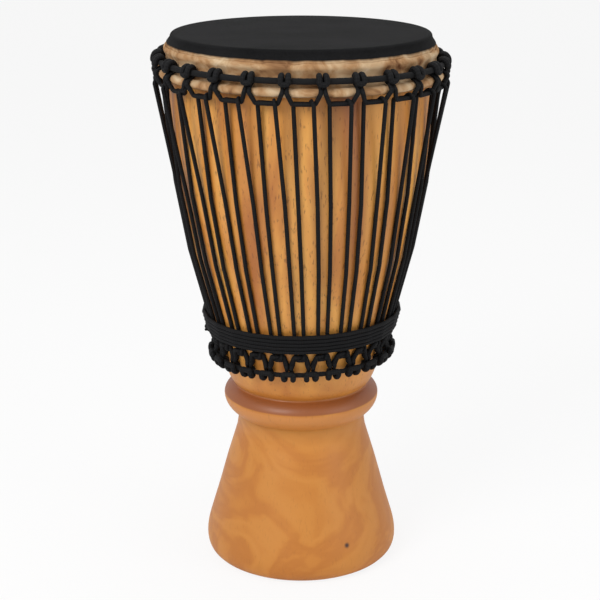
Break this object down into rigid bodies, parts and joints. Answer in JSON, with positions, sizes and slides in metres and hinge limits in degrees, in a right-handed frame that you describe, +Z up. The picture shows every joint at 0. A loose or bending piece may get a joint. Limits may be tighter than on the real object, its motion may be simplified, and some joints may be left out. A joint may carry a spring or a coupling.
{
  "type": "goblet hand drum",
  "caption": "One-headed goblet hand drum: golden carved wood shell, black haired hide, black cord lacing over cloth-wrapped hoops, flared foot.",
  "frame": {"origin": "centre of the foot's base ring, on the surface that the drum stands on", "axes": "+Z up along the drum's axis to the playing face, -Y towards the viewer of the picture, +X to the viewer's right"},
  "size_m": [0.3204, 0.3192, 0.6],
  "materials": {
    "carved_wood": "golden wood with darker streaks, oiled to a soft shine",
    "hide": "black short-haired hide, shaved to tan and cream at the turned-up edge",
    "steel": "plain steel rod, hidden",
    "cloth_strip": "black woven cotton strip",
    "braided_cord": "black braided polyester cord"
  },
  "bodies": {
    "root": {"shell": "carved_wood", "drumhead": "hide", "flesh_hoop": "steel", "crown_hoop": "steel", "crown_hoop_wrap": "cloth_strip", "lower_hoop": "steel", "lower_hoop_wrap": "cloth_strip", "upper_cradle_cord": "braided_cord", "lower_cradle_cord": "braided_cord", "lacing_cord": "braided_cord", "winding_cord": "braided_cord", "cradle_tie_knot": "braided_cord", "cord_end_knot": "braided_cord"}
  },
  "joints": []
}
